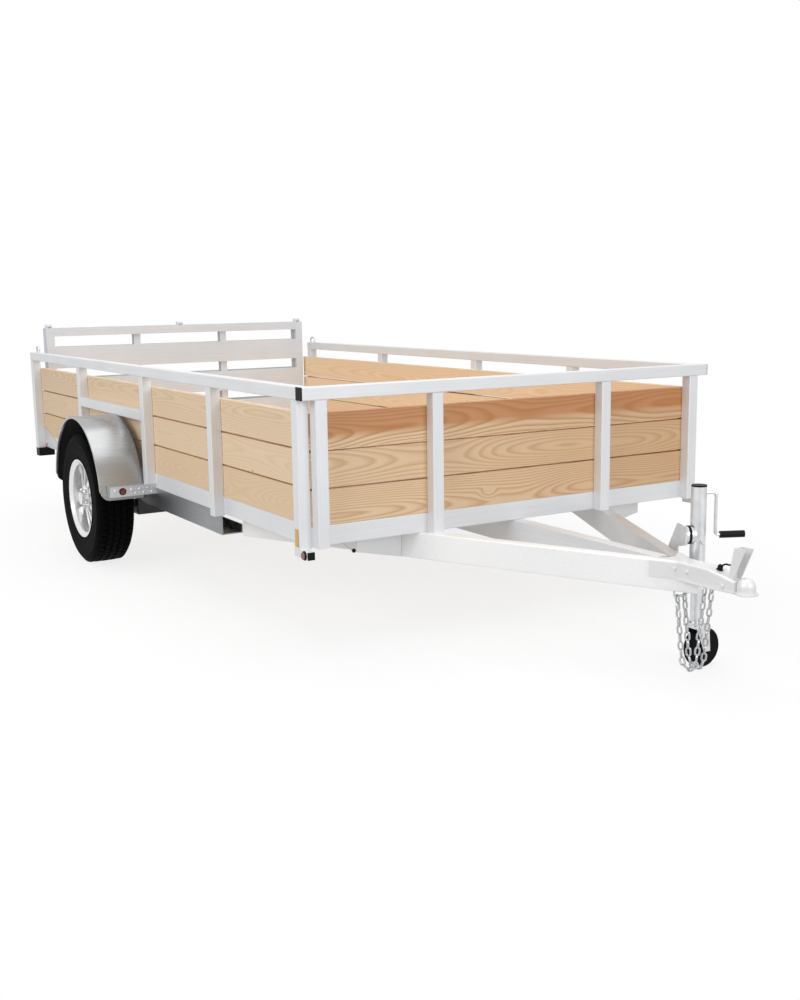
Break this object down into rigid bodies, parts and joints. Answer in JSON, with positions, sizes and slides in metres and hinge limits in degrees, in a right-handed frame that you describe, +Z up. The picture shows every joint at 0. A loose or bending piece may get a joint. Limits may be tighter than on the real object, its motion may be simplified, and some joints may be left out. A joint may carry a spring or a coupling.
{
  "type": "single-axle utility trailer",
  "caption": "Single-axle aluminium utility trailer with pine board sides, folding ramp gate, round fenders, swivel jack and safety chains.",
  "frame": {"origin": "on the ground, at the middle of the overall length and width", "axes": "+X forwards to the coupler, +Y to the trailer's left, +Z up"},
  "size_m": [5.2742, 2.5336, 1.232],
  "materials": {
    "alu_frame": "satin",
    "alu_bare": "brushed",
    "pine": "matte",
    "wheel_alloy": "polished",
    "tyre_rubber": "matte",
    "caster_rubber": "matte",
    "black_steel": "satin",
    "white_paint": "gloss",
    "zinc": "satin",
    "black_plastic": "matte",
    "amber_lens": "gloss"
  },
  "bodies": {
    "trailer": {"side_rails": "alu_frame", "front_rail": "alu_frame", "rear_sill": "alu_frame", "crossmembers": "alu_frame", "deck_planks": "pine", "side_posts_left": "alu_frame", "side_posts_right": "alu_frame", "front_posts": "alu_frame", "top_rails": "alu_frame", "front_top_rail": "alu_frame", "rail_caps": "black_plastic", "side_boards_left": "pine", "side_boards_right": "pine", "front_boards": "pine", "fender_braces": "alu_frame", "sub_rails": "alu_bare", "axle_beam": "black_steel", "axle_arms": "black_steel", "fenders": "alu_bare", "fender_brackets": "alu_bare", "tongue_left": "alu_frame", "tongue_right": "alu_frame", "tongue_centre": "alu_frame", "tongue_gussets": "alu_bare", "rear_gussets": "alu_bare", "coupler": "white_paint", "coupler_latch": "white_paint", "chain_anchors": "zinc", "chain_left": "zinc", "chain_right": "zinc", "jack_mount": "zinc", "gate_hinges": "alu_frame", "gate_latches": "zinc", "marker_stubs": "alu_frame", "stub_caps": "black_plastic", "marker_lamps": "amber_lens", "reflectors": "amber_lens", "tail_lamps": "black_plastic"},
    "wheel_left": {"rim_left": "wheel_alloy", "tyre_left": "tyre_rubber"},
    "wheel_right": {"rim_right": "wheel_alloy", "tyre_right": "tyre_rubber"},
    "gate_lower": {"gate_lower_frame": "alu_frame", "gate_lower_planks": "alu_frame"},
    "gate_upper": {"gate_upper_frame": "alu_frame", "gate_upper_planks": "alu_frame"},
    "jack_body": {"jack_tube": "zinc", "jack_cap": "black_plastic", "jack_crank": "zinc", "jack_grip": "black_plastic"},
    "jack_foot": {"jack_leg": "zinc"},
    "caster": {"caster_fork": "zinc"},
    "caster_roller": {"caster_wheel": "caster_rubber"}
  },
  "joints": [
    {"name": "wheel_left_spin", "type": "hinge", "parent": "trailer", "child": "wheel_left", "pos_m": [-0.87092, 1.162, 0.346], "axis": [0, 1, 0], "continuous": true},
    {"name": "wheel_right_spin", "type": "hinge", "parent": "trailer", "child": "wheel_right", "pos_m": [-0.87092, -1.162, 0.346], "axis": [0, 1, 0], "continuous": true},
    {"name": "gate_drop", "type": "hinge", "parent": "trailer", "child": "gate_lower", "pos_m": [-2.56993, 0, 0.507], "axis": [0, -1, 0], "range_deg": [0, 110.1]},
    {"name": "gate_unfold", "type": "hinge", "parent": "gate_lower", "child": "gate_upper", "pos_m": [-2.59397, 0, 1.221], "axis": [0, 1, 0], "range_deg": [0, 180]},
    {"name": "jack_swing", "type": "hinge", "parent": "trailer", "child": "jack_body", "pos_m": [2.24213, 0.12894, 0.507], "axis": [0.432, 0.9019, 0], "range_deg": [0, 90]},
    {"name": "jack_wind", "type": "slide", "parent": "jack_body", "child": "jack_foot", "axis": [0, 0, 1], "range_m": [0, 0.13]},
    {"name": "caster_swivel", "type": "hinge", "parent": "jack_foot", "child": "caster", "pos_m": [2.24213, 0.12894, 0.166], "axis": [0, 0, 1], "continuous": true},
    {"name": "caster_roll", "type": "hinge", "parent": "caster", "child": "caster_roller", "pos_m": [2.24248, 0.16294, 0.075], "axis": [-0.9999, 0.0103, 0], "continuous": true}
  ]
}
